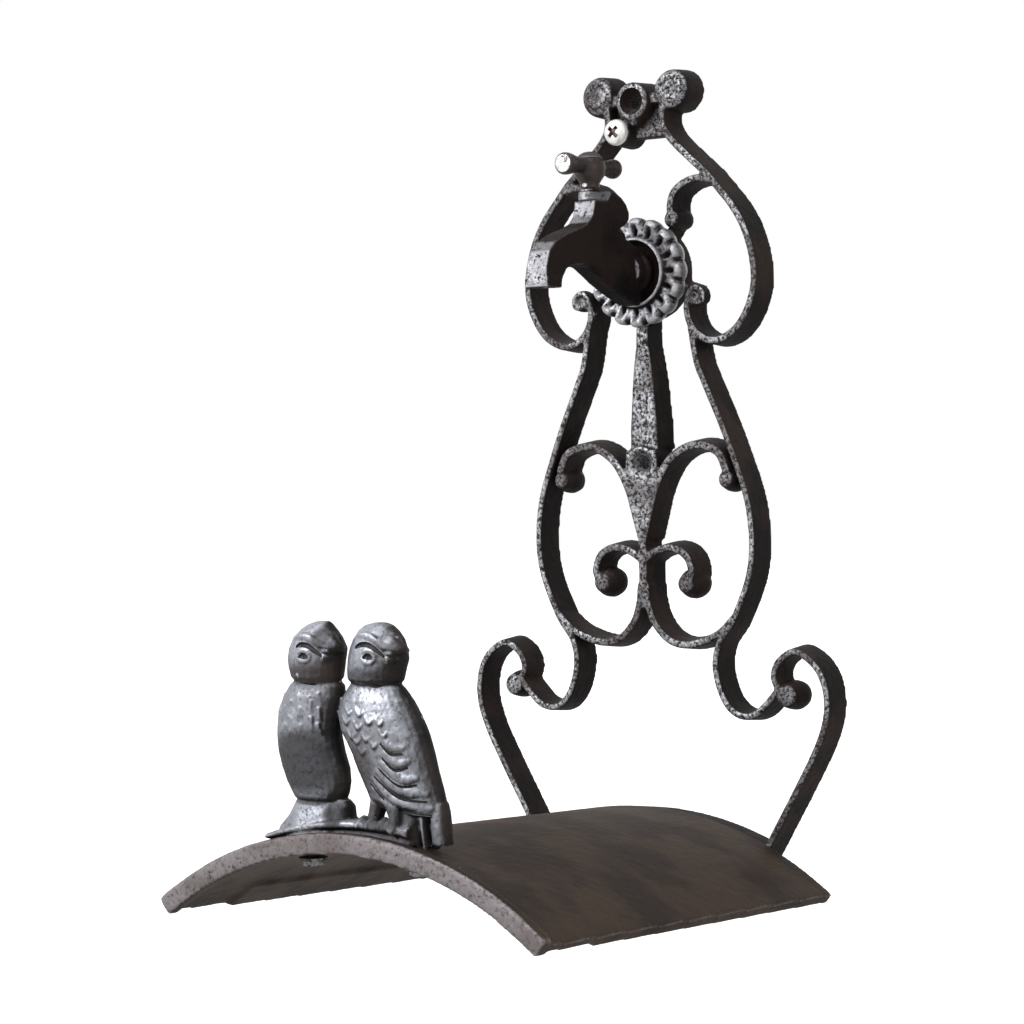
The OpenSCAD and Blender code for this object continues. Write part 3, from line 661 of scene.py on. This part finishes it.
def arch(bm, low, high, start, end, y0, y1, steps=64, runs=1):
    """A curved slab between two radii and two angles, from y0 to y1 behind the lip, in mm."""
    a, b = (bm.verts.new((r*math.sin(start), y0, r*math.cos(start) - ARC)) for r in (low, high))
    bottom = [a, b, bm.edges.new((a, b))]
    bmesh.ops.spin(bm, geom=bottom, cent=(0, y0, -ARC), axis=(0, 1, 0), angle=end - start, steps=steps)
    made = [f for f in bm.faces if not f.tag]
    for _ in range(runs):
        grown = bmesh.ops.extrude_face_region(bm, geom=made)["geom"]
        moved = [g for g in grown if isinstance(g, bmesh.types.BMVert)]
        bmesh.ops.translate(bm, verts=moved, vec=(0, (y1 - y0)/runs, 0))
        made = [g for g in grown if isinstance(g, bmesh.types.BMFace)]
    for f in bm.faces:
        f.tag = True


bm = bmesh.new()
arch(bm, ARC - 7, ARC - 3, -WING, WING, 1, 228)
arch(bm, ARC - 8.5, ARC, -WING, WING, 0, 6)
rail = math.asin(84/ARC)
for sign in (-1, 1):
    arch(bm, ARC - 8.5, ARC - 5, sign*rail, sign*WING, 38, 228, steps=12)
for x in BIRD_SCREWS:
    bmesh.ops.create_cone(bm, cap_ends=True, segments=32, radius1=6.3, radius2=6.8, depth=6.6,
                          matrix=Matrix.Translation((x, 14.5, -8)))
bmesh.ops.transform(
    bm, matrix=Matrix.Translation((0, LIP_Y, CROWN)) @ Matrix.Rotation(-FALL, 4, "X"), verts=bm.verts)
bmesh.ops.bisect_plane(bm, geom=bm.verts[:] + bm.edges[:] + bm.faces[:], plane_co=(0, -14.05, 0),
                       plane_no=(0, 1, 0), clear_outer=True)
open_edges = [e for e in bm.edges if e.is_boundary]
bmesh.ops.holes_fill(bm, edges=open_edges, sides=0)
flange_places = []
for i in range(25):
    a = -foot_angle + 2*foot_angle*i/24
    flange_places.append(
        Matrix.Translation((BOLT_RING*math.sin(a), 0, HOLE_Z - FOOT_DROP + (BOLT_RING + 1.5)*math.cos(a)))
        @ Matrix.Rotation(a, 4, "Y"))
sweep(bm, [(0, -14.05, -8.5), (0, -14.05, 8), (0, -18, 8), (0, -18, -8.5)], flange_places)
saddle_casting = as_piece(bm, "saddle_casting")
cast(saddle_casting, 1.15, 5, 0.22, 0.006)
bm = bmesh.new()
for x in SADDLE_BOLTS:
    add_boss(bm, x, -FOOT_DROP + math.sqrt(BOLT_RING**2 - x*x), (3.3, -10), (3.3, -26))
for x in BIRD_SCREWS:
    bmesh.ops.create_cone(bm, cap_ends=True, segments=32, radius1=2.8, radius2=2.8, depth=40,
                          matrix=Matrix.Translation((x, BIRD_Y, CROWN - 8)))
bore(saddle_casting, as_piece(bm, "saddle_holes"))
shade_smooth(saddle_casting, 60)
saddle_iron = iron("saddle_iron", (0.022, 0.015, 0.012), (0.042, 0.028, 0.020), (0.18, 0.16, 0.165), front=1.0,
                   edge=0.5, cover=0.6, grain=420, rub_scale=500, bright=0.5, metal=0.4, fade=0.35, pits=0.3)
saddle_casting.data.materials.append(saddle_iron)
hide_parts("saddle")
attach(saddle_casting, "bracket")

# Birds: two perched birds and their arched plinth in one casting, screwed to the saddle from below.
# The heads have brows, ringed eyes and short beaks; the right bird has scales and long wing feathers.
bm = bmesh.new()


def at(x, y, z):
    """A place on the bird casting: y is towards the front of its middle plane."""
    return (x, BIRD_Y - y, z + HOLE_Z)


def loft(bm, rows):
    """A closed form through level ovals: height, left edge, right edge, half depth."""
    places = [Matrix.Translation(at((a + b)/2, 0, z)) @ Matrix.Diagonal(((b - a)/2, d, 1, 1))
              for z, a, b, d in rows]
    sweep(bm, [(math.cos(i*math.pi/14), math.sin(i*math.pi/14), 0) for i in range(28)], places)


def on_front(rows, x, z):
    """Carries a point seen 8.5 mm in front of the middle plane back to the front of a loft."""
    seen, deep = x, 0.0
    for _ in range(4):
        for (z0, a0, b0, d0), (z1, a1, b1, d1) in zip(rows, rows[1:]):
            if z1 <= z <= z0:
                t = (z0 - z)/(z0 - z1)
                a, b = a0 + (a1 - a0)*t, b0 + (b1 - b0)*t
                off = (2*x - a - b)/(b - a)
                deep = (d0 + (d1 - d0)*t)*math.sqrt(max(0.0, 1 - off*off))
        x = seen - (8.5 - deep)*0.74
    return (x, deep, z)


def ridge(bm, points, radii, flat=1.0):
    """A tapering raised line through points x, y, z of the bird casting; flat lowers it to the front."""
    path = smooth_path([at(*p) for p in points], 8)
    places = []
    for i, p in enumerate(path):
        run = (path[min(i + 1, len(path) - 1)] - path[max(i - 1, 0)]).normalized()
        t = i/(len(path) - 1)*(len(radii) - 1)
        j = min(int(t), len(radii) - 2)
        r = radii[j] + (radii[j + 1] - radii[j])*(t - j)
        out = Vector((0, -1, 0))
        out = (out - run*run.dot(out)).normalized()
        across = run.cross(out)
        places.append(Matrix((
            (across.x*r, out.x*r*flat, run.x, p.x),
            (across.y*r, out.y*r*flat, run.y, p.y),
            (across.z*r, out.z*r*flat, run.z, p.z),
            (0, 0, 0, 1))))
    sweep(bm, [(math.cos(a*math.pi/5), math.sin(a*math.pi/5), 0) for a in range(10)], places)


# heads and bodies as level ovals
left_head = [(-226.4, -22.5, -16.8, 2.2), (-227.6, -26.8, -15.6, 4.4), (-229.6, -30.2, -14, 6.2),
             (-233, -34.3, -11.2, 8), (-237.1, -36.4, -9, 8.9), (-241, -37.3, -9.8, 9.2),
             (-245.5, -36.9, -10.6, 9), (-249.2, -36, -11.2, 8.2), (-251.4, -33.5, -13, 6.6), (-252.4, -28, -18, 4)]
left_body = [(-249.5, -33, -13, 5.4), (-252.5, -37.2, -10, 7), (-257.4, -40.7, -9.8, 8), (-263, -43.4, -11.2, 8.6),
             (-272.5, -44.4, -12.6, 8.9), (-279.2, -43.9, -11, 8.8), (-286, -42.2, -8.4, 8.5), (-291.5, -39.9, -8, 8.2),
             (-296, -37.2, -9, 7.8), (-298.6, -35.4, -10.5, 7.4)]
left_skirt = [(-296.5, -33, -12, 5.8), (-300.4, -35.6, -10, 6.4), (-306, -39.2, -8.5, 7.4),
              (-310.7, -44.1, -8, 8.2), (-314.3, -45.6, -8, 8.6)]
right_head = [(-226.3, 7.5, 13, 2.2), (-227.4, 2.6, 16.4, 4.4), (-229.6, -0.2, 18.8, 6.2),
              (-233, -2.6, 21.2, 8), (-237.2, -4.6, 22.6, 8.9), (-241, -5.4, 22.8, 9.2),
              (-245.5, -6, 21.2, 9), (-249.2, -6, 20.4, 8.2), (-251.4, -3.5, 18, 6.6), (-252.4, 2, 12, 4)]
right_body = [(-249.5, -3.5, 18, 5.4), (-252.5, -6.2, 21.6, 7), (-257.5, -10, 26, 8.2), (-263.5, -11.8, 29.9, 8.9),
              (-270, -10.6, 33.3, 9), (-278, -5.6, 35.9, 8.8), (-285, -2.4, 37.8, 8.4), (-292, 1.2, 40.1, 7.8),
              (-297, 3.6, 41.6, 7), (-300, 8, 42.4, 6.2), (-302, 16, 42.6, 5)]
for rows in (left_head, left_body, left_skirt, right_head, right_body):
    loft(bm, rows)
for x in (0, 32.8):
    # beak, its bright lower edge and the lower bill
    ridge(bm, [(x - 20, 0, -233.4), (x - 14, 4, -234.6), (x - 9.5, 4.5, -236), (x - 5.8, 3, -237.3)], [4, 5, 3, 0.8])
    ridge(bm, [(x - 16.5, 6.8, -238), (x - 12, 7.2, -237.9), (x - 7.9, 4.2, -237.4)], [0.3, 1.0, 0.5])
    ridge(bm, [(x - 15, 6, -240.4), (x - 12.5, 5, -240), (x - 10.5, 4, -239.4)], [2.4, 2, 1])
brows = [(left_head, [(-28.5, -233.6), (-25, -232.4), (-20.5, -233), (-16.5, -235.4), (-12.5, -238)]),
         (right_head, [(3, -233), (7, -231.4), (11, -231.8), (15.5, -234.2), (20, -238)])]
eyes = [(left_head, -23.8, -240.2, 3.4, 2.2), (right_head, 10, -239.5, 3.3, 2.5)]
for rows, points in brows:
    ridge(bm, [on_front(rows, *p) for p in points], [0.6, 1.7, 1.8, 1.6, 0.6], 0.45)
for rows, x, z, wide, high in eyes:
    lids = [on_front(rows, x + wide*math.cos(i*math.pi/6), z + high*math.sin(i*math.pi/6)) for i in range(13)]
    ridge(bm, lids, [0.75, 0.75], 0.4)
# scale feathers on the right bird's breast, tips to the lower right
for x, z in [(-0.4, -262.5), (5, -262.8), (9.7, -265.8), (15.1, -266.1), (-1.9, -266.3), (4.2, -268.1), (0.7, -271.9),
             (8.1, -272.6), (3.4, -273.9), (12.1, -275.1), (6, -278), (16.9, -270.7)]:
    ridge(bm, [on_front(right_body, x + dx, z + dz) for dx, dz in ((-2.2, 2.6), (-0.3, 0.2), (0.6, 0), (2.2, 1.6))],
          [0.4, 0.9, 1.0, 0.4], 0.7)
# long feathers of its wing with a groove under each, and short ones on the left bird's breast
feathers = [([(14.5, -272), (20, -276), (26, -276)], 1.6), ([(15.5, -277.5), (22, -282), (28.6, -281)], 1.9),
            ([(13.5, -281.5), (24, -288), (33, -287.5)], 2.2), ([(11.3, -284.8), (24, -292.5), (38, -294)], 2.3),
            ([(9.2, -288), (22, -297), (40, -299.5)], 2.2)]
for points, r in feathers:
    ridge(bm, [on_front(right_body, x + 1.5, z + 0.6) for x, z in points], [0.7, r, r*0.95, 0.8], 0.34)
for i in range(22):
    x, z = -35 + 4.4*(i % 5) + 1.5*math.sin(5*i), -256 - 3.6*(i//5) - 1.6*math.sin(3*i)
    lean = 0.09*(x + 23) + 0.5*math.sin(7*i)
    ridge(bm, [on_front(left_body, x - lean, z), on_front(left_body, x + lean, z - 4.5)], [1.2, 0.4], 0.28)
# tail of the right bird past the plinth, foot of the left bird, leg and toes of the right bird
for a, b, c, d, low in ((29, 33.5, 31.5, 34, -314.5), (34.5, 43, 35, 44.3, -313.5)):
    loft(bm, [(-297, a + 1, b - 1, 3.4), (-301, a, b, 4), (-308, (a + c)/2, (b + d)/2, 4), (low, c, d, 3.6)])
loft(bm, [(-298.5, -15, -8, 3), (-301, -16.8, -6.2, 5), (-305, -16.4, -5.8, 5.4), (-310, -16, -5.6, 5)])
ridge(bm, [(12.2, 3, -295.5), (16.9, 4, -297.5), (20, 5, -301), (21, 6, -306), (19, 6, -309)], [3, 3.6, 3.6, 3, 3.6])
ridge(bm, [(8, 0, -297), (7, 1, -303), (6, 2, -309)], [4, 3.4, 4])
for x in (3, 8, 14, 17.5, 22):
    ridge(bm, [(x + 1, 4, -304.6), (x, 6.6, -306), (x - 1.4, 8, -308.2)], [1.8, 1.7, 1.2])
loft(bm, [(-299, 17, 30, 5), (-305, 15.5, 30.5, 6.4), (-314, 15, 30.5, 6.4)])
# arched plinth, deeper towards the right; its front hangs over the rim with a gap under it
for first, last, grow, section in [
        (-46, 27, 0.75, [(0, 2.6, -2.9), (0, 16, -2.9), (0, 15.4, 3), (0, 13, 4), (0, 1, 4), (0, -0.6, 3.1),
                        (0, -0.6, 1.5), (0, 2.6, 0.9)]),
        (26, 33, 0.0, [(0, 7, -2.9), (0, 16, -2.9), (0, 15.4, 3), (0, 13, 4), (0, 8, 4), (0, 7, 3)])]:
    first, last = math.asin(first/ARC), math.asin(last/ARC)
    plinth_places = []
    for i in range(25):
        a = first + (last - first)*i/24
        spot = Matrix.Translation((ARC*math.sin(a), 0, ARC*(math.cos(a) - 1))) @ Matrix.Rotation(a, 4, "Y")
        plinth_places.append(Matrix.Translation((0, LIP_Y, CROWN)) @ Matrix.Rotation(-FALL, 4, "X")
                             @ Matrix.Translation((0, 6.6, 0)) @ spot @ Matrix.Diagonal((1, 1, 0.8 + grow*i/24, 1)))
    sweep(bm, section, plinth_places)
bird_pair = as_piece(bm, "bird_pair")
cast(bird_pair, 0.5, 3, 0.25, 0.0025, 0.9)
# grooves under the brows and the feathers and at the necks, the eyes, and the screw holes
bm = bmesh.new()
for rows, points in [(left_head, [(-27.5, -236.2), (-25.2, -235.2), (-21, -235.6), (-16.9, -238), (-12.8, -240.2)]),
                     (right_head, [(3.6, -235.8), (5.8, -234.6), (9.9, -234.3), (13.9, -236), (20.5, -240.2)])]:
    ridge(bm, [on_front(rows, x, z - 0.4) for x, z in points], [0.5, 1.2, 1.2, 1.0, 0.4])
for rows, x, z, wide, high in eyes:
    ridge(bm, [on_front(rows, x + dx, z + dz) for dx, dz in ((-2.6, -0.4), (-0.6, 0.2), (1, 0), (2.6, -0.8))],
          [0.4, 1.4, 1.3, 0.4])
for rows, points in [(left_head, [(-28, -250.3), (-18, -251.6), (-5, -250.6)]),
                     (right_head, [(2.7, -249.5), (14, -251.2), (26, -250)])]:
    ridge(bm, [on_front(rows, *p) for p in points], [0.5, 0.9, 0.5])
for points, r in feathers:
    ridge(bm, [on_front(right_body, x + 1.3 - 0.3*r, z - r) for x, z in points], [0.4, 0.8, 0.5])
for x in BIRD_SCREWS:
    bmesh.ops.create_cone(bm, cap_ends=True, segments=24, radius1=2.55, radius2=2.55, depth=18,
                          matrix=Matrix.Translation((x, BIRD_Y, CROWN - 1)))
bore(bird_pair, as_piece(bm, "bird_cuts"))
shade_smooth(bird_pair, 60)
# the aim up and to the left, towards the lamps, makes the silver a painted highlight on the upper faces; the places
# listed paint shade on the lower heads, over the left beak, on the bellies and on the legs and feet
bird_iron = iron("bird_iron", (0.008, 0.007, 0.007), (0.028, 0.022, 0.020), (0.36, 0.375, 0.42), front=1.0,
                 edge=0.5, cover=0.68, grain=520, bump=0.35, rub_scale=360, pits=0.5, fade=0.4, dull=0.5, bright=0.32,
                 aim=(-0.25, 0.75), least=0.38, shade=[
                     (-22, -248, 16, 5.5, 0.7), (-15, -232.5, 5.5, 4.5, 0.7), (9, -248, 16, 5, 0.6),
                     (-27, -283, 21, 16, 0.84), (4, -284, 8, 10, 0.6), (15, -303, 16, 6.5, 0.8),
                     (-11, -304, 6.5, 6.5, 0.8), (-25, -299, 14, 2.4, 0.7)])
bird_pair.data.materials.append(bird_iron)
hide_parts("birds")
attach(bird_pair, "bracket")

# Arm screw: a zinc plated steel pan head with a cross recess, tight on the left arm under the boss.
# The recess is cut in, and inside it the head is coloured dark red.
ARM_X, ARM_Z = -9.0, HOLE_Z - 13.5
bm = bmesh.new()
lathe(bm, [(0, 13.2), (3, 13.2), (3, -0.02), (5.6, -0.02), (6, -0.5), (6, -1.7), (5.6, -2.7), (4.6, -3.7),
           (2.6, -4.35), (0, -4.4)], (ARM_X, FACE_Y, ARM_Z), TO_WALL)
pan_screw = as_piece(bm, "pan_screw")
bm = bmesh.new()
for turn in (45, 135):
    made = bmesh.ops.create_cube(bm, size=1.0)["verts"]
    bmesh.ops.scale(bm, verts=made, vec=(10, 4.6, 2.0))
    for v in made:
        if v.co.y > 0:
            v.co.x *= 0.45
    bmesh.ops.rotate(bm, verts=made, cent=(0, 0, 0), matrix=Matrix.Rotation(math.radians(turn), 3, "Y"))
    bmesh.ops.translate(bm, verts=made, vec=(ARM_X, FACE_Y - 4.6, ARM_Z))
cross = as_piece(bm, "cross_recess")
fuse = cross.modifiers.new("fuse", "REMESH")
fuse.mode = "VOXEL"
fuse.voxel_size = 0.18*MM
settle(cross)
bore(pan_screw, cross)
shade_smooth(pan_screw, 35)
zinc = bpy.data.materials.new("zinc_plate")
zinc.use_nodes = True
tree = zinc.node_tree
grit = tree.nodes.new("ShaderNodeGroup")
grit.node_tree = grain_group
grit.inputs["Scale"].default_value = 900
place = tree.nodes.new("ShaderNodeTexCoord")
inside = tree.nodes.new("ShaderNodeSeparateXYZ")
tree.links.new(place.outputs["Object"], inside.inputs[0])
deep = ramp(tree, inside.outputs["Y"], (FACE_Y - 3.9)*MM, (FACE_Y - 3.5)*MM)
centred = tree.nodes.new("ShaderNodeVectorMath")
centred.operation = "DISTANCE"
centred.inputs[1].default_value = (ARM_X*MM, (FACE_Y - 2.6)*MM, ARM_Z*MM)
tree.links.new(place.outputs["Object"], centred.inputs[0])
sunk = maths(tree, "MULTIPLY", deep, ramp(tree, centred.outputs["Value"], 0.0044, 0.0040))
tint = tree.nodes.new("ShaderNodeMix")
tint.data_type = "RGBA"
tint.inputs["A"].default_value = (0.72, 0.72, 0.70, 1)
tint.inputs["B"].default_value = (0.06, 0.016, 0.012, 1)
tree.links.new(sunk, tint.inputs["Factor"])
shader = tree.nodes["Principled BSDF"]
tree.links.new(tint.outputs["Result"], shader.inputs["Base Color"])
tree.links.new(ramp(tree, sunk, 0, 1, 0.35, 0.0), shader.inputs["Metallic"])
tree.links.new(ramp(tree, grit.outputs["Drift"], 0, 1, 0.28, 0.4), shader.inputs["Roughness"])
pan_screw.data.materials.append(zinc)
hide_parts("arm_screw")
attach(pan_screw, "bracket")

# Hidden fasteners: plain steel bolts, nuts, washers, screws and the spindle, and the packing ring. They
# keep the shapes of the model, with a dull rolled finish and a little rust; the birds' screws are painted.
plain_steel = iron("plain_steel", (0.10, 0.09, 0.08), (0.13, 0.08, 0.05), (0.5, 0.5, 0.5), front=0.4, edge=0.5,
                   cover=0.6, grain=700, bump=0.2, dull=0.5, bright=0.3)
painted_steel = iron("painted_steel", NEAR_BLACK, BROWN_BLACK, (0.2, 0.2, 0.2), front=0.3, edge=0.4, grain=700,
                     bump=0.3)
packing_cord = iron("packing_cord", (0.010, 0.010, 0.010), (0.016, 0.015, 0.014), (0.03, 0.03, 0.03), front=0.2,
                    edge=0.2, grain=1500, bump=0.5, dull=0.8, bright=0.7)
for node_name, finish in [
        ("tap_spindle", plain_steel), ("tap_washer", plain_steel), ("tap_nut", plain_steel),
        ("saddle_bolts", plain_steel), ("saddle_washers", plain_steel), ("saddle_nuts", plain_steel),
        ("bird_washers", painted_steel), ("bird_screws", painted_steel), ("tap_packing", packing_cord)]:
    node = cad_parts[node_name]
    node.data.materials.clear()
    node.data.materials.append(finish)

low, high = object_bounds()
